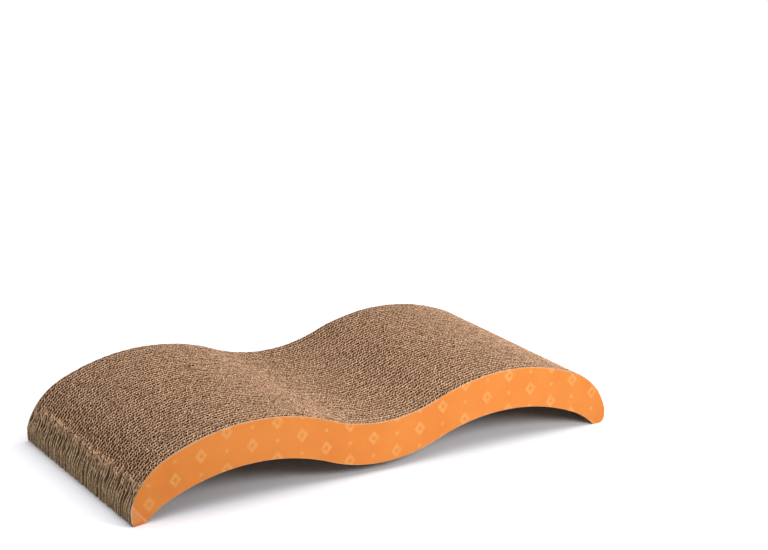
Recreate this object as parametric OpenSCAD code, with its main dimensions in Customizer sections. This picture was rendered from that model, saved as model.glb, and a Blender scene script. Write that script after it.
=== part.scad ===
// Wave-shaped cat scratcher lounge, built from upright corrugated boards glued side by side.
// Length runs along X, the boards are stacked along Y, and the toes stand on the floor at Z = 0.

/* [Wave block] */
// Length of the block, from toe to toe
block_length = 448; // [432:1:460]
// Distance of each hump's crown from the middle
hump_x = 118; // [112:0.5:124]
// Height of the humps above the floor
hump_top = 65.5; // [63:0.5:72]
// Radius of the top curve over each hump
hump_r = 178; // [170:1:188]
// Height of the lowest point of the dip between the humps
dip_top = 42.5; // [41:0.5:46]
// Upright thickness of the wave, the same all along it
wave_t = 35; // [32:0.5:37]
// Radius that rounds the shoulder at each end
shoulder_r = 56; // [48:1:64]
// Height at which the shoulder runs into the upright end
end_top = 12; // [10:0.5:15]
// Radius that rounds the lower edge of each toe
toe_r = 6; // [4:0.5:8]

/* [Corrugated board] */
// Number of boards glued side by side
board_count = 50; // [24:1:50]
// Thickness of one board, over both of its liners
board_t = 4; // [3:0.1:5]
// Paper thickness of a liner, the flat outer sheet of a board
liner_t = 0.3; // [0.2:0.05:0.5]
// Paper thickness of the fluting, the folded middle sheet of a board
fluting_t = 0.3; // [0.2:0.05:0.5]
// Distance from one flute crest to the next
flute_pitch = 11.6; // [10:0.1:16]
// Share of a pitch by which each board's flutes are shifted against the last one's
flute_shift = 0.38; // [0:0.01:0.5]

/* [Printed facing] */
// Thickness of the printed card on the front and back of the block
facing_t = 0.8; // [0.5:0.1:1.5]

/* [Colours] */
// Colour of the printed card
facing_colour = "#EE9448"; // color
// Colour of the liners
liner_colour = "#B8926B"; // color
// Colour of the fluting
fluting_colour = "#9C7650"; // color

/* [Hidden] */
$fn = 96;
// Arcs reach this far past the line they run into, so that curves cross and never just touch
ease = 0.02;
// Reach of the plain areas that other shapes cut down to size
reach = 2 * block_length;
half_length = block_length / 2;
stack_w = board_count * board_t;

// The dip curve is tangent to both hump curves, so its radius follows from theirs
rise = hump_top - dip_top;
dip_r = (hump_x * hump_x + rise * rise) / (2 * rise) - hump_r;
hump_z = hump_top - hump_r;
dip_z = dip_top + dip_r;
// Place where a hump curve turns into the dip curve
turn_x = hump_x * dip_r / (hump_r + dip_r);
turn_z = dip_z + (hump_z - dip_z) * dip_r / (hump_r + dip_r);

// The shoulder is tangent to the hump curve around it and ends at the top of the upright end
span = [half_length - hump_x, end_top - hump_z];
aim = span / norm(span);
along = (pow(hump_r - shoulder_r, 2) - pow(shoulder_r, 2) + span * span) / (2 * norm(span));
across = sqrt(pow(hump_r - shoulder_r, 2) - pow(along, 2));
shoulder_x = hump_x + along * aim[0] - across * aim[1];
shoulder_z = hump_z + along * aim[1] + across * aim[0];
shoulder_start_x = hump_x + (shoulder_x - hump_x) * hump_r / (hump_r - shoulder_r);

// Fluting sheets share these nodes, as groups of separate sheets that lie next to each other
fluting_groups = 7;

function two_digits(n) = str(n < 10 ? "0" : "", n);
function liner_name(n) = str("liner_", two_digits(n));
function fluting_name(g) = str("fluting_", g);
// Last board in a group, with the boards numbered from 1
function last_board(g) = floor(g * board_count / fluting_groups);
// Middle of a board across the stack
function board_y(n) = (n - 0.5) * board_t - stack_w / 2;

// Everything below the hump at +X and its shoulder
module under_hump() {
    intersection() {
        translate([hump_x, hump_z]) circle(hump_r);
        translate([shoulder_start_x - reach, -reach / 2]) square(reach);
    }
    translate([shoulder_x, shoulder_z]) circle(shoulder_r + ease);
}

// Everything below the top curve of the wave
module under_wave() {
    difference() {
        union() {
            under_hump();
            mirror([1, 0]) under_hump();
            translate([-turn_x, turn_z - reach]) square([2 * turn_x, reach]);
        }
        translate([0, dip_z]) circle(dip_r + ease);
    }
}

// Everything that the upright end at +X and its rounded toe leave in place
module end_limit() {
    intersection() {
        translate([half_length - reach, 0]) square(reach);
        union() {
            translate([half_length - toe_r - reach, 0]) square(reach);
            translate([half_length - reach, toe_r]) square(reach);
            translate([half_length - toe_r, toe_r]) circle(toe_r + ease);
        }
    }
}

// Outline that every sheet is cut to: the wave, with its underside the top curve moved straight down
module sheet_outline() {
    intersection() {
        difference() {
            under_wave();
            translate([0, -wave_t]) under_wave();
        }
        end_limit();
        mirror([1, 0]) end_limit();
    }
}

// Upright flat sheet that starts at y
module sheet(y, thickness) {
    translate([0, y + thickness, 0])
        rotate([90, 0, 0])
            linear_extrude(thickness) sheet_outline();
}

// Printed card glued to the first or last board
module facing_front() {
    color(facing_colour) sheet(-stack_w / 2 - facing_t, facing_t);
}

module facing_back() {
    color(facing_colour) sheet(stack_w / 2, facing_t);
}

// Flat sheet between two boards, which is a liner of each glued back to back, or the outer liner at an end
module liner(n) {
    y = (n - 1) * board_t - stack_w / 2;
    before = n > 1 ? liner_t : 0;
    after = n <= board_count ? liner_t : 0;
    color(liner_colour) sheet(y - before, before + after);
}

// Plan of one fluting sheet, folded to and fro between the liners of its board
module flute_plan(n) {
    shift = flute_pitch * (n * flute_shift - floor(n * flute_shift));
    crest_y = board_t / 2 - liner_t - fluting_t / 2;
    folds = 2 * ceil(half_length / flute_pitch) + 2;
    line = [
        for (k = [-folds : folds])
            [k * flute_pitch / 2 + shift, (k % 2 == 0 ? 1 : -1) * crest_y]
    ];
    half_t = [0, fluting_t / 2];
    polygon(concat(
        [for (p = line) p - half_t],
        [for (k = [len(line) - 1 : -1 : 0]) line[k] + half_t]
    ));
}

// Fluting of one board, with its flutes upright and open at the top and bottom
module fluting_sheet(n) {
    intersection() {
        sheet(board_y(n) - board_t / 2, board_t);
        translate([0, board_y(n), 0])
            linear_extrude(hump_top + ease) flute_plan(n);
    }
}

module fluting(g) {
    color(fluting_colour)
        for (n = [last_board(g - 1) + 1 : last_board(g)]) fluting_sheet(n);
}

facing_front();
facing_back();
for (n = [1 : board_count + 1])
    liner(n);
for (g = [1 : fluting_groups])
    fluting(g);
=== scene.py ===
"""Looks of the wave-shaped cat scratcher lounge: kraft sheets with cut edges between printed cards."""

import math

import bpy
import numpy as np
from mathutils import Matrix, Vector


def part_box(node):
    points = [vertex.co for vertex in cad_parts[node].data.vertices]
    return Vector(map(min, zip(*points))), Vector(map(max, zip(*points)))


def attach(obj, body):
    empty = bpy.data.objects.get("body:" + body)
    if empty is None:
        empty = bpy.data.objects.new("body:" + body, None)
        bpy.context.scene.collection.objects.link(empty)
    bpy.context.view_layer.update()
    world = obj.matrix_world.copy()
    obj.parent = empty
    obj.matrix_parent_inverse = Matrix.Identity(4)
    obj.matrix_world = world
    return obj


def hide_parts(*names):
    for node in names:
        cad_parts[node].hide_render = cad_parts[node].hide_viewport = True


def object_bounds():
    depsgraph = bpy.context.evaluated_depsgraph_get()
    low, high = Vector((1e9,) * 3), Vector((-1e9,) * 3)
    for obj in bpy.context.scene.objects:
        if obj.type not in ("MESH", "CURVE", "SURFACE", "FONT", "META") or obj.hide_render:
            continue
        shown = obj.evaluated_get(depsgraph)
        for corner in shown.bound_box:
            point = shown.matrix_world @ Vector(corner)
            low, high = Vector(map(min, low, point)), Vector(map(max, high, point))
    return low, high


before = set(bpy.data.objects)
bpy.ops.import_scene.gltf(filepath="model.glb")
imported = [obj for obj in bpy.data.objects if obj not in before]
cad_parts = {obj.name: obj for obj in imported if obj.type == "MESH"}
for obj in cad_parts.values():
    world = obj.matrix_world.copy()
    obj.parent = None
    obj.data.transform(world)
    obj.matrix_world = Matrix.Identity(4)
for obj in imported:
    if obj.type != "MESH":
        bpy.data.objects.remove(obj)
cad_low, cad_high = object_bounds()

MM = 0.001
SEED = 7

# The wave that every sheet is cut to
HALF_LENGTH = cad_high.x
HUMP_TOP = cad_high.z
HUMP_X = 118 * MM
HUMP_R = 178 * MM
DIP_TOP = 42.5 * MM
WAVE_T = 35 * MM
SHOULDER_R = 56 * MM
END_TOP = 12 * MM
TOE_R = 6 * MM

# The toes at -X, which are pressed nearly square, and how far the cards' soles ease into their arches
WORN_TOE_R = 2 * MM
CARD_TOE_R = 4 * MM
CARD_EASE = 1.8 * MM

# The stack of boards between the printed cards
STACK_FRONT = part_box("facing_front")[1].y
STACK_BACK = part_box("facing_back")[0].y
LINER_NODES = sorted(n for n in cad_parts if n.startswith("liner_"))
FLUTING_NODES = sorted(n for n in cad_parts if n.startswith("fluting_"))
BOARD_COUNT = len(LINER_NODES) - 1
BOARD_T = (STACK_BACK - STACK_FRONT) / BOARD_COUNT
CARD_T = cad_high.y - STACK_BACK
CARD_DROP = 0.3 * MM
FLUTING_T = 0.26 * MM
FLUTE_PITCH = 3.6 * MM
FLUTE_DEPTH = 1.57 * MM
FLUTE_DRIFT = 0.16
FLUTED = HALF_LENGTH - 2.6 * MM

# The cut edges: how much thicker the paper is where it is swollen, and how far down
LINER_BURR = 2.8
FLUTING_BURR = 5
FUZZ = 0.5 * MM
BURR = 0.22
BURR_CHANGE = (2 * MM, 0.08)
BURR_MATTED = (0.2, 0.9)
BURR_END = 0.25
BURR_END_REACH = 4 * MM

# How uneven the cut edges are: over what length they change, and by how much
EDGE_SWAY = (9 * MM, 0.06 * MM)
EDGE_GRAIN = (2.2 * MM, 0.05 * MM)
TUFTS = (1.5 * MM, 0.15 * MM)
SOLE_GRAIN = (3 * MM, 0.15 * MM)
END_GRAIN = (5 * MM, 0.2 * MM)
END_SHORT = 0.7 * MM
NICKS = 2
NICK_WIDTH = 3 * MM
NICK_DEPTH = 0.8 * MM
LEAST_HEIGHT = 1 * MM

# How much whole sheets stand out from the wave, in millimetres
PROUD = 0.04
FLUTING_SUNK = -0.03

# How the sheets sway near their upper edges: over what length, and by how much
LINER_SWAY = (7 * MM, 0.18 * MM)
LINER_BEND = (2.5 * MM, 0.25 * MM)
FLUTE_SWAY = (9 * MM, 0.7)
FLUTE_CRUSH = (2.4 * MM, 0.95)

# The wear of the ends: a ridge of matted paper and dust, both less at +X, with the dust also painting light
# onto the -X end face, which lies in shade, and dents below the ridge at -X
FRAY_GAIN = 3
RIDGE_X = HALF_LENGTH - 7.4 * MM
RIDGE_REACH = 2 * MM
RIDGE_RISE = 1.4 * MM
DENT_X = HALF_LENGTH - 4.4 * MM
DENT_REACH = 2 * MM
DENT_DEPTH = 8 * MM
DENT_CHANGE = (7 * MM, 0.7)
DENT_SHARE = 0.3
LINER_TORN = 0.35
FLUTING_TORN = 1.3
DUST_AND_LIGHT_REACH = 11 * MM
PALE_REACH = 1.2 * MM
WEAR_AND_LIGHT_LESS = 0.3

# The print on the cards: diamonds and dots that take turns in each column
PRINT_COLUMN = 22 * MM
PRINT_ROW = 30 * MM
DIAMOND = (5.4 * MM, 6.4 * MM)
DOT_R = 1.7 * MM

# The lifted corner of the front card: its fold runs between these places on the end and the sole
FOLD_TOP = 17.2 * MM
FOLD_FOOT = 14 * MM
FOLD_LIFT = 0.2

# How the sheets are divided into faces
LINER_STEP = 1.2 * MM
FLUTING_STEP = FLUTE_PITCH / 7
CARD_STEP = 1 * MM
END_REACH = 6 * MM
END_STEPS = 8
ROW_SHARES = np.array([0, 0.015, 1, 1, 1, 1])
MIDDLE_DEPTH = 2.2 * MM
LEAN_DEPTH = 5.6 * MM
CARD_ROWS = np.concatenate([[0, 0.012], np.linspace(0.03, 0.97, 32), [0.988, 1]])

# The place of the camera, with its turn to the right, its tilt down and its roll
CAMERA_AT = (-789.8 * MM, -1336.7 * MM, 601.7 * MM)
CAMERA_YAW = math.radians(32.44)
CAMERA_PITCH = math.radians(16.6)
CAMERA_ROLL = math.radians(1.1)
CAMERA_LENS = 91.67

# The floor's colour, and the stronger one by which it looks white wherever light reaches it
FLOOR_COLOUR = (0.5, 0.5, 0.5, 1)
FLOOR_SEEN = (1.1, 1.11, 1.16, 1)
# The strength of the sky as a light, while the sky itself looks white too
SKY_LIGHT = 0.3


def wave_top(x):
    """Height of the top curve of the wave, with the rounded shoulders at its ends."""
    x = np.abs(x)
    rise = HUMP_TOP - DIP_TOP
    dip_r = (HUMP_X**2 + rise**2) / (2 * rise) - HUMP_R
    hump_z, dip_z = HUMP_TOP - HUMP_R, DIP_TOP + dip_r
    turn_x = HUMP_X * dip_r / (HUMP_R + dip_r)
    hump = hump_z + np.sqrt(np.maximum(HUMP_R**2 - (x - HUMP_X) ** 2, 0))
    dip = dip_z - np.sqrt(np.maximum(dip_r**2 - x**2, 0))
    span = Vector((HALF_LENGTH - HUMP_X, END_TOP - hump_z))
    aim = span.normalized()
    inner = HUMP_R - SHOULDER_R
    along = (inner**2 - SHOULDER_R**2 + span.length_squared) / (2 * span.length)
    across = math.sqrt(inner**2 - along**2)
    shoulder_x = HUMP_X + along * aim.x - across * aim.y
    shoulder_z = hump_z + along * aim.y + across * aim.x
    start_x = HUMP_X + (shoulder_x - HUMP_X) * HUMP_R / inner
    shoulder = shoulder_z + np.sqrt(np.maximum(SHOULDER_R**2 - (x - shoulder_x) ** 2, 0))
    return np.where(x < turn_x, dip, np.where(x < start_x, hump, shoulder))


def wave_edges(x, left_toe_r, ease=0):
    """Heights of the lower and upper edge of a sheet at each place along it."""
    top = wave_top(x)
    arch = top - WAVE_T
    radius = np.where(x < 0, left_toe_r, TOE_R)
    past = np.maximum(np.abs(x) - HALF_LENGTH + radius, 0)
    toe = radius - np.sqrt(np.maximum(radius**2 - past**2, 0))
    return (arch + toe + np.hypot(arch - toe, ease)) / 2, top


def columns(step):
    """Places along a sheet, closer together towards the round ends."""
    near = END_REACH * (np.arange(END_STEPS + 1) / END_STEPS) ** 2
    inner = HALF_LENGTH - END_REACH
    count = round(2 * inner / step)
    middle = np.linspace(-inner, inner, count + 1)[1:-1]
    return np.concatenate([near - HALF_LENGTH, middle, (HALF_LENGTH - near)[::-1]])


def wander(rng, x, length, amount):
    """A smooth random line along x that changes about once in each length."""
    knots = np.arange(x.min() - 2 * length, x.max() + 3 * length, length)
    values = rng.normal(0, amount, len(knots))
    at = (x - knots[0]) / length
    k = at.astype(int)
    t = at - k
    t = t * t * (3 - 2 * t)
    return values[k] * (1 - t) + values[k + 1] * t


def nicks(rng, x):
    """Short torn places along an edge, as depths below it."""
    torn = np.zeros_like(x)
    for nick_x in rng.uniform(-HALF_LENGTH, HALF_LENGTH, NICKS):
        reach = NICK_WIDTH * rng.uniform(0.4, 1.0)
        shape = np.clip(1 - np.abs(x - nick_x) / reach, 0, 1)
        torn = np.maximum(torn, NICK_DEPTH * rng.uniform(0.3, 1.0) * np.sqrt(shape))
    return torn


def deselect():
    bpy.ops.object.select_all(action="DESELECT")


def upright_grid(name, x, rows):
    """A grid primitive with a column at each x, and the column and row of each of its corners."""
    deselect()
    bpy.ops.mesh.primitive_grid_add(x_subdivisions=len(x) - 1, y_subdivisions=len(rows) - 1, size=1)
    sheet = bpy.context.object
    sheet.name = sheet.data.name = name
    at = np.zeros(len(sheet.data.vertices) * 3)
    sheet.data.vertices.foreach_get("co", at)
    at = at.reshape(-1, 3) + 0.5
    column = np.rint(at[:, 0] * (len(x) - 1)).astype(int)
    row = np.rint(at[:, 1] * (len(rows) - 1)).astype(int)
    return sheet, column, row


def place(sheet, points):
    sheet.data.vertices.foreach_set("co", points.ravel())
    sheet.data.update()


def mark(sheet, name, values):
    """Keeps a number for each corner of a sheet, for its material to read."""
    attribute = sheet.data.attributes.new(name, "FLOAT", "POINT")
    attribute.data.foreach_set("value", np.asarray(values, np.float32))


def thicken(sheet, thickness, swell=1, weights=None):
    """Gives a sheet its paper thickness, and swell times as much where its weight is 1."""
    bpy.context.view_layer.objects.active = sheet
    paper = sheet.modifiers.new("paper", "SOLIDIFY")
    paper.thickness = swell * thickness
    paper.offset = 0
    if weights is not None:
        group = sheet.vertex_groups.new(name="burr")
        levels = np.rint(weights * 16) / 16
        for level in np.unique(levels):
            group.add(np.flatnonzero(levels == level).tolist(), float(level), "REPLACE")
        paper.vertex_group = group.name
        paper.thickness_vertex_group = 1 / swell
    bpy.ops.object.modifier_apply(modifier=paper.name)
    sheet.vertex_groups.clear()


def join(sheets, name):
    deselect()
    for sheet in sheets:
        sheet.select_set(True)
    bpy.context.view_layer.objects.active = sheets[0]
    bpy.ops.object.join()
    sheets[0].name = sheets[0].data.name = name
    return sheets[0]


def smooth(piece, angle):
    deselect()
    piece.select_set(True)
    bpy.context.view_layer.objects.active = piece
    bpy.ops.object.shade_smooth_by_angle(angle=math.radians(angle))


def settle(piece, node, slot, *materials):
    """A finished piece stands for its CAD node."""
    for material in materials:
        piece.data.materials.append(material)
    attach(piece, "root")
    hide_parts(node)


def wear_and_painted_light(x):
    """The share of wear on each end, which also sets how much light the dust paints there."""
    return np.where(x < 0, 1, WEAR_AND_LIGHT_LESS)


def hill(x, middle, reach):
    """A smooth hill of height 1 around its middle."""
    return np.exp(-(((x - middle) / reach) ** 2))


def matted(x):
    """How much the edges are matted at each place along a sheet: most on the ridge of the worn shoulder."""
    return hill(np.abs(x), RIDGE_X, RIDGE_REACH) * wear_and_painted_light(x)


def fray(x):
    """How many times rougher than elsewhere the edges are at each place."""
    return 1 + FRAY_GAIN * matted(x)


def scuffs(rng, x, y, torn):
    """The ridge of matted paper along the worn shoulder, with dents below it that reach over a few sheets."""
    across = np.linspace(STACK_FRONT, STACK_BACK, 4 * BOARD_COUNT)
    dents = wander(np.random.default_rng([SEED, 4]), across, *DENT_CHANGE) + DENT_SHARE
    dent = torn * DENT_DEPTH * max(np.interp(y, across, dents), 0) * rng.uniform(0.5, 1)
    return RIDGE_RISE * rng.uniform(0.2, 1) * matted(x) - dent * hill(x, -DENT_X, DENT_REACH)


def rough_edges(rng, x, y, proud, torn):
    """Heights of the lower and upper edge of one sheet as they are cut: uneven, and torn in places."""
    low, high = wave_edges(x, WORN_TOE_R)
    uneven = wander(rng, x, *EDGE_SWAY) + wander(rng, x, *EDGE_GRAIN) * fray(x)
    tufts = np.abs(wander(rng, x, *TUFTS)) * (fray(x) - 1)
    high = high + uneven + tufts + proud - nicks(rng, x) + scuffs(rng, x, y, torn)
    low = low + np.abs(wander(rng, x, *SOLE_GRAIN))
    return low, np.maximum(high, low + LEAST_HEIGHT)


def row_drops(x, height):
    """How far each row lies below its edge: the upper rows are close together, where the sheet bends."""
    steep = np.hypot(1, np.gradient(wave_top(x), x))
    fuzzy = np.minimum(FUZZ * steep * (0.6 + 0.4 * fray(x)), 0.3 * height)
    middle = np.clip(MIDDLE_DEPTH, 1.5 * fuzzy, 0.5 * height)
    deep = np.clip(LEAN_DEPTH, 1.3 * middle, 0.75 * height)
    none = np.zeros_like(x)
    return np.stack([none, none, deep, middle, fuzzy, none])


def cut_sheet(rng, name, step, y, proud, torn):
    """A sheet cut to the wave, with the places and columns of its corners, and how they lean and swell."""
    x = columns(step)
    sheet, column, row = upright_grid(name, x, ROW_SHARES)
    last = len(ROW_SHARES) - 1
    share = ROW_SHARES[row]
    low, high = rough_edges(rng, x, y, proud, torn)
    height = high - low
    drop = row_drops(x, height)[row, column]
    points = np.zeros((len(row), 3))
    points[:, 2] = low[column] + share * height[column] - drop
    near_end = np.clip((np.abs(x) - HALF_LENGTH + END_REACH) / END_REACH, 0, 1)[column]
    short = np.abs(rng.normal(0, END_SHORT)) + wander(rng, points[:, 2], *END_GRAIN)
    points[:, 0] = x[column] - np.sign(x[column]) * near_end * short
    lean = np.where(share == 1, np.clip(1 - drop / LEAN_DEPTH, 0, 1), 0) ** 2
    edge = (row == 0) | (row == last) | (column == 0) | (column == len(x) - 1)
    from_end = (HALF_LENGTH - np.abs(x))[column]
    # Cut edges and sheet ends are marked for the pale colour: partly real fibres, partly painted light
    mark(sheet, "cut", np.where(edge, 1, np.clip(1 - from_end / PALE_REACH, 0, 1)))
    # Dust near the ends, most at -X: it also paints light onto the shaded -X end face, which turns paler and
    # greyer
    mark(sheet, "dust_and_light", np.clip(1 - from_end / DUST_AND_LIGHT_REACH, 0, 1) * wear_and_painted_light(x)[column])
    mark(sheet, "tone", np.full(len(row), rng.uniform()))
    burr = BURR + wander(rng, x, *BURR_CHANGE) + rng.uniform(*BURR_MATTED) * matted(x)
    burr = burr[column] + BURR_END * np.clip(1.5 - from_end / BURR_END_REACH, 0, 1)
    return sheet, points, x, column, lean, edge * np.clip(burr, 0, 1)


def liner_sheet(rng, name, y, thickness):
    """A flat liner whose upper edge is bent a little to and fro."""
    proud = rng.normal(0, PROUD) * MM
    sheet, points, x, column, lean, burr = cut_sheet(rng, name, LINER_STEP, y, proud, LINER_TORN)
    bend = wander(rng, x, *LINER_SWAY) + wander(rng, x, *LINER_BEND) * fray(x)
    points[:, 1] = y + bend[column] * lean
    place(sheet, points)
    thicken(sheet, thickness, LINER_BURR, burr)
    return sheet


def fluting_sheet(rng, name, y, start):
    """The wavy middle sheet of one board, with flutes that differ a little in pitch and depth."""
    proud = rng.normal(FLUTING_SUNK, PROUD) * MM
    sheet, points, x, column, lean, burr = cut_sheet(rng, name, FLUTING_STEP, y, proud, FLUTING_TORN)
    along = np.clip(x, -FLUTED, FLUTED)
    phase = 2 * math.pi * (along / FLUTE_PITCH + start) + wander(rng, along, *FLUTE_SWAY)
    crush = wander(rng, along, *FLUTE_CRUSH) * fray(along)
    points[:, 1] = y + FLUTE_DEPTH * np.sin(phase[column] + crush[column] * lean)
    place(sheet, points)
    thicken(sheet, FLUTING_T, FLUTING_BURR, burr)
    return sheet


def fold(x, z):
    """Distance from the fold of the lifted corner, above 0 on the corner's side."""
    return ((FOLD_TOP - z) * FOLD_FOOT - (x + HALF_LENGTH) * FOLD_TOP) / math.hypot(FOLD_TOP, FOLD_FOOT)


def card(name, node_name, outward):
    """A printed card with a worn rim, which on the front has lifted a little at one toe."""
    low_corner, high_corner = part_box(node_name)
    x = columns(CARD_STEP)
    sheet, column, row = upright_grid(name, x, CARD_ROWS)
    low, high = wave_edges(x, CARD_TOE_R, CARD_EASE)
    high = high - CARD_DROP
    share = CARD_ROWS[row]
    height = (high - low)[column]
    points = np.empty((len(row), 3))
    points[:, 0] = x[column]
    points[:, 2] = low[column] + share * height
    past_fold = fold(points[:, 0], points[:, 2]) if outward < 0 else np.full(len(row), -1.0)
    points[:, 1] = (low_corner.y + high_corner.y) / 2 + outward * FOLD_LIFT * np.maximum(past_fold, 0)
    place(sheet, points)
    mark(sheet, "rim", np.minimum(np.minimum(share, 1 - share) * height, HALF_LENGTH - np.abs(x[column])))
    mark(sheet, "fold", past_fold)
    thicken(sheet, CARD_T)
    for face in sheet.data.polygons:
        face.material_index = 0 if face.normal.y * outward > 0.5 else 1
    return sheet


def colour(red, green, blue):
    """A colour written as the screen shows it, from 0 to 255, as the linear values that materials take."""
    share = np.array([red, green, blue]) / 255
    linear = np.where(share <= 0.04045, share / 12.92, ((share + 0.055) / 1.055) ** 2.4)
    return (*linear.tolist(), 1)


def material(name, roughness):
    made = bpy.data.materials.new(name)
    made.use_nodes = True
    tree = made.node_tree
    shader = tree.nodes["Principled BSDF"]
    shader.inputs["Roughness"].default_value = roughness
    shader.inputs["Specular IOR Level"].default_value = 0.2
    return made, tree, shader


def link(tree, source, target):
    tree.links.new(source, target)


def node(tree, kind, **settings):
    made = tree.nodes.new(kind)
    for key, value in settings.items():
        setattr(made, key, value)
    return made


def noise(tree, scale, detail=2.0, squeeze=(1, 1, 1)):
    """A noise pattern on the piece, with about scale spots in a metre."""
    at = node(tree, "ShaderNodeTexCoord")
    turn = node(tree, "ShaderNodeMapping")
    turn.inputs["Scale"].default_value = squeeze
    grain = node(tree, "ShaderNodeTexNoise")
    grain.inputs["Scale"].default_value = scale
    grain.inputs["Detail"].default_value = detail
    link(tree, at.outputs["Object"], turn.inputs["Vector"])
    link(tree, turn.outputs["Vector"], grain.inputs["Vector"])
    return grain.outputs["Fac"]


def mix(tree, share, first, second):
    """A blend of two colours, each given as values or as a socket."""
    made = node(tree, "ShaderNodeMix", data_type="RGBA")
    for source, socket in ((share, made.inputs["Factor"]), (first, made.inputs[6]), (second, made.inputs[7])):
        if isinstance(source, bpy.types.NodeSocket):
            link(tree, source, socket)
        else:
            socket.default_value = source
    return made.outputs[2]


def remap(tree, value, low, high, new_low=0.0, new_high=1.0):
    made = node(tree, "ShaderNodeMapRange", interpolation_type="SMOOTHSTEP")
    link(tree, value, made.inputs["Value"])
    for key, number in (("From Min", low), ("From Max", high), ("To Min", new_low), ("To Max", new_high)):
        made.inputs[key].default_value = number
    return made.outputs["Result"]


def calc(tree, operation, first, second=0.0):
    """One step of arithmetic on sockets or numbers."""
    made = node(tree, "ShaderNodeMath", operation=operation)
    for source, socket in ((first, made.inputs[0]), (second, made.inputs[1])):
        if isinstance(source, bpy.types.NodeSocket):
            link(tree, source, socket)
        else:
            socket.default_value = source
    return made.outputs[0]


def attribute(tree, name):
    return node(tree, "ShaderNodeAttribute", attribute_name=name).outputs["Fac"]


def place_on_piece(tree, axis):
    """One coordinate of each place on a piece."""
    at = node(tree, "ShaderNodeSeparateXYZ")
    link(tree, node(tree, "ShaderNodeTexCoord").outputs["Object"], at.inputs[0])
    return at.outputs[axis]


def bump(tree, shader, height, strength, distance):
    made = node(tree, "ShaderNodeBump")
    made.inputs["Strength"].default_value = strength
    made.inputs["Distance"].default_value = distance
    link(tree, height, made.inputs["Height"])
    link(tree, made.outputs["Normal"], shader.inputs["Normal"])


def kraft(name, dark, light, frayed_and_lit):
    """Brown kraft paper, mottled and a little different on each sheet, with pale fibres on its cut edges. Its
    faces are darker than kraft, as painted shade in the holes between the sheets, and its cut edges are
    paler, partly as real fibres and partly as painted light.
    """
    made, tree, shader = material(name, 0.9)
    mottle = remap(tree, noise(tree, 350, 4), 0.3, 0.7)
    # The faces: darker than kraft, as painted shade in the holes between the sheets
    body = mix(tree, mottle, dark, light)
    body = mix(tree, remap(tree, attribute(tree, "tone"), 0, 1, 0, 0.4), body, dark)
    fibre = remap(tree, noise(tree, 650, 3), 0.35, 0.65, 0.25, 1)
    # The cut edges: paler, partly real fibres and partly painted light
    fuzzy = calc(tree, "MULTIPLY", attribute(tree, "cut"), fibre)
    # Dust, which also paints light: walls and edges near the ends are paler and greyer, most at the shaded -X
    # end
    dust_and_light_share = calc(tree, "MULTIPLY", attribute(tree, "dust_and_light"), 0.8)
    body = mix(tree, dust_and_light_share, body, colour(166, 137, 102))
    pale = mix(tree, dust_and_light_share, frayed_and_lit, colour(255, 226, 186))
    link(tree, mix(tree, fuzzy, body, pale), shader.inputs["Base Color"])
    bump(tree, shader, noise(tree, 2600, 3), 0.35, 0.25 * MM)
    return made


def print_mask(tree):
    """1 on the printed diamonds and dots, 0 on the ground between them."""
    across = calc(tree, "DIVIDE", place_on_piece(tree, "X"), PRINT_COLUMN)
    upward = calc(tree, "DIVIDE", place_on_piece(tree, "Z"), PRINT_ROW)
    odd = calc(tree, "MULTIPLY", calc(tree, "FLOORED_MODULO", calc(tree, "FLOOR", across), 2.0), 0.5)
    x = calc(tree, "MULTIPLY", calc(tree, "SUBTRACT", calc(tree, "FRACT", across), 0.5), PRINT_COLUMN)
    marks = []
    for drop in (0.0, 0.5):
        up = calc(tree, "FRACT", calc(tree, "ADD", calc(tree, "ADD", upward, odd), drop))
        z = calc(tree, "MULTIPLY", calc(tree, "SUBTRACT", up, 0.5), PRINT_ROW)
        marks.append((calc(tree, "ABSOLUTE", x), calc(tree, "ABSOLUTE", z)))
    (wide, tall), (dot_x, dot_z) = marks
    reach = calc(tree, "ADD", calc(tree, "DIVIDE", wide, DIAMOND[0]), calc(tree, "DIVIDE", tall, DIAMOND[1]))
    diamond = calc(tree, "MULTIPLY", remap(tree, reach, 0.92, 1.02, 1, 0), remap(tree, reach, 0.3, 0.42))
    squares = [calc(tree, "POWER", side, 2.0) for side in (dot_x, dot_z)]
    span = calc(tree, "SQRT", calc(tree, "ADD", *squares))
    return calc(tree, "MAXIMUM", diamond, remap(tree, span, 0.85 * DOT_R, DOT_R, 1, 0))


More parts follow.
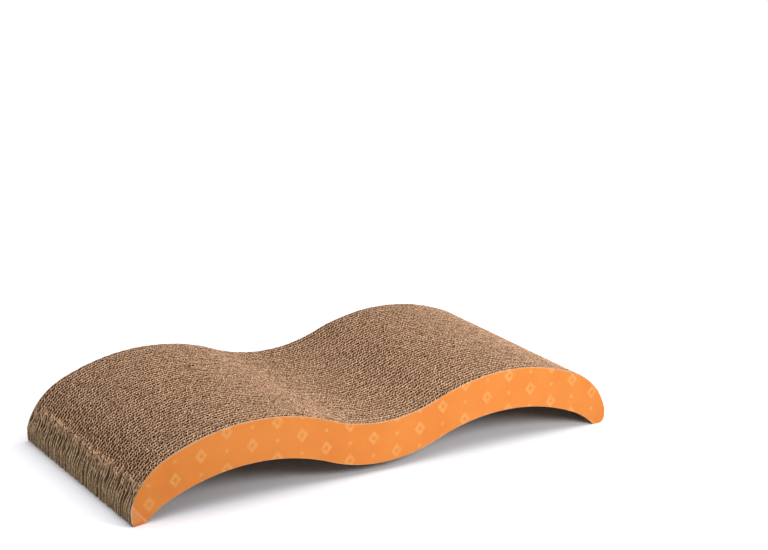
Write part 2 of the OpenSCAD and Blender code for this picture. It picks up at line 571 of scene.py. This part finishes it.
def printed_card():
    """Matt orange print with paler marks, worn to the bare card along its rim and on its fold."""
    made, tree, shader = material("printed_card", 0.6)
    ink = mix(tree, remap(tree, noise(tree, 30, 3), 0.3, 0.7), colour(244, 144, 64), colour(250, 152, 70))
    shade = remap(tree, noise(tree, 260, 3), 0.3, 0.7, 0.45, 0.9)
    ink = mix(tree, calc(tree, "MULTIPLY", print_mask(tree), shade), ink, colour(253, 178, 102))
    past_fold = attribute(tree, "fold")
    # Painted shading of the lifted corner: past its fold the ink turns duller and less orange
    ink = mix(tree, remap(tree, past_fold, 0.2 * MM, 2.5 * MM, 0, 0.55), ink, colour(226, 158, 92))
    height = place_on_piece(tree, "Z")
    low = remap(tree, height, 2 * MM, 3 * MM, 0.8, 0)
    # The lowest 3 mm of the lifted corner are darker and redder
    sole = calc(tree, "MULTIPLY", low, remap(tree, past_fold, 1 * MM, 2.5 * MM))
    ink = mix(tree, sole, ink, colour(240, 118, 48))
    rubbed = remap(tree, noise(tree, 500, 3), 0.35, 0.65, 0.15, 0.8)
    rim = remap(tree, attribute(tree, "rim"), 0.1 * MM, 0.55 * MM, 1, 0)
    crease = remap(tree, calc(tree, "ABSOLUTE", past_fold), 0.2 * MM, 0.8 * MM, 0.6, 0)
    beside = calc(tree, "SUBTRACT", past_fold, calc(tree, "MULTIPLY", height, 0.14))
    second = remap(tree, calc(tree, "ABSOLUTE", beside), 0.1 * MM, 0.6 * MM, 0.4, 0)
    crease = calc(tree, "MAXIMUM", crease, second)
    wear = calc(tree, "MULTIPLY", calc(tree, "MAXIMUM", rim, crease), rubbed)
    link(tree, mix(tree, wear, ink, colour(246, 216, 180)), shader.inputs["Base Color"])
    bump(tree, shader, noise(tree, 1500, 3), 0.12, 0.1 * MM)
    return made


def card_rim():
    made, tree, shader = material("card_rim", 0.85)
    grain = remap(tree, noise(tree, 1200, 3), 0.3, 0.7)
    bare = mix(tree, grain, colour(200, 164, 126), colour(228, 198, 162))
    # Near white on the lifted corner and within 4 mm of its fold: partly the card's pale core, partly painted
    # light on an edge that lies in shade
    lifted = remap(tree, attribute(tree, "fold"), -4 * MM, 0)
    link(tree, mix(tree, lifted, bare, colour(252, 244, 234)), shader.inputs["Base Color"])
    return made


def make_camera():
    lens = bpy.data.cameras.new("camera")
    lens.lens = CAMERA_LENS
    lens.sensor_width = 36
    lens.clip_end = 50
    camera = bpy.data.objects.new("camera", lens)
    bpy.context.scene.collection.objects.link(camera)
    turn = Matrix.Rotation(-CAMERA_YAW, 4, "Z") @ Matrix.Rotation(math.pi / 2 - CAMERA_PITCH, 4, "X")
    camera.matrix_world = Matrix.Translation(CAMERA_AT) @ turn @ Matrix.Rotation(CAMERA_ROLL, 4, "Z")
    bpy.context.scene.camera = camera


def shown(tree):
    """1 for the rays that show the background: from the camera, in gloss and through glass."""
    path = node(tree, "ShaderNodeLightPath").outputs
    mirrored = calc(tree, "MAXIMUM", path["Is Glossy Ray"], path["Is Transmission Ray"])
    return calc(tree, "MAXIMUM", path["Is Camera Ray"], mirrored)


def make_floor():
    deselect()
    bpy.ops.mesh.primitive_plane_add(size=14, location=(0, 0, -0.1 * MM))
    floor = bpy.context.object
    floor.name = "floor"
    made, tree, shader = material("floor_paint", 0.9)
    paint = node(tree, "ShaderNodeBsdfDiffuse")
    link(tree, mix(tree, shown(tree), FLOOR_COLOUR, FLOOR_SEEN), paint.inputs["Color"])
    link(tree, paint.outputs[0], tree.nodes["Material Output"].inputs["Surface"])
    tree.nodes.remove(shader)
    floor.data.materials.append(made)


def add_light(name, kind, energy, place_at, aim=(0, 0, 0.03)):
    """A light at a place, turned towards its aim."""
    lamp = bpy.data.lights.new(name, kind)
    lamp.energy = energy
    light = bpy.data.objects.new(name, lamp)
    bpy.context.scene.collection.objects.link(light)
    light.location = place_at
    light.rotation_euler = (Vector(aim) - light.location).to_track_quat("-Z", "Y").to_euler()
    return lamp


def make_lights():
    world = bpy.data.worlds.new("studio")
    bpy.context.scene.world = world
    world.use_nodes = True
    tree = world.node_tree
    sky = tree.nodes["Background"]
    sky.inputs["Color"].default_value = (1, 1, 1, 1)
    link(tree, remap(tree, shown(tree), 0, 1, SKY_LIGHT, 1), sky.inputs["Strength"])
    key = add_light("key", "SUN", 2.2, (0.3, 0.05, 1.0))
    key.angle = math.radians(70)
    fill = add_light("fill", "AREA", 1.4, (0.16, -0.52, 0.3), (0.1, -0.1, 0.03))
    fill.shape = "DISK"
    fill.size = 0.2


def make_liners(paper):
    for number, node_name in enumerate(LINER_NODES):
        rng = np.random.default_rng([SEED, 1, number])
        low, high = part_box(node_name)
        liner = liner_sheet(rng, f"kraft_{node_name}", (low.y + high.y) / 2, high.y - low.y)
        smooth(liner, 40)
        settle(liner, node_name, "kraft_liner", paper)


def make_flutings(paper):
    middles = STACK_FRONT + BOARD_T * (np.arange(BOARD_COUNT) + 0.5)
    starts = np.cumsum(np.random.default_rng([SEED, 3]).normal(0, FLUTE_DRIFT, BOARD_COUNT))
    for node_name in FLUTING_NODES:
        low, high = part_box(node_name)
        sheets = []
        for number in np.flatnonzero((middles > low.y) & (middles < high.y)):
            rng = np.random.default_rng([SEED, 2, int(number)])
            name = f"board_{number + 1:02d}_fluting"
            sheets.append(fluting_sheet(rng, name, middles[number], starts[number]))
        group = join(sheets, f"kraft_{node_name}")
        smooth(group, 40)
        settle(group, node_name, "kraft_fluting", paper)


def make_cards(print_face, rim):
    for node_name, outward in (("facing_front", -1), ("facing_back", 1)):
        piece = card(f"card_{node_name}", node_name, outward)
        settle(piece, node_name, "printed_card", print_face, rim)


make_camera()
make_floor()
make_lights()
# Each kraft has two face colours, darker than kraft as painted shade in the holes, and a pale edge colour
# that is partly painted light
make_liners(kraft("kraft_liner", colour(98, 63, 35), colour(128, 90, 58), colour(255, 209, 170)))
make_flutings(kraft("kraft_fluting", colour(88, 55, 30), colour(116, 79, 49), colour(255, 204, 164)))
make_cards(printed_card(), card_rim())

bpy.context.scene.view_settings.view_transform = "Standard"
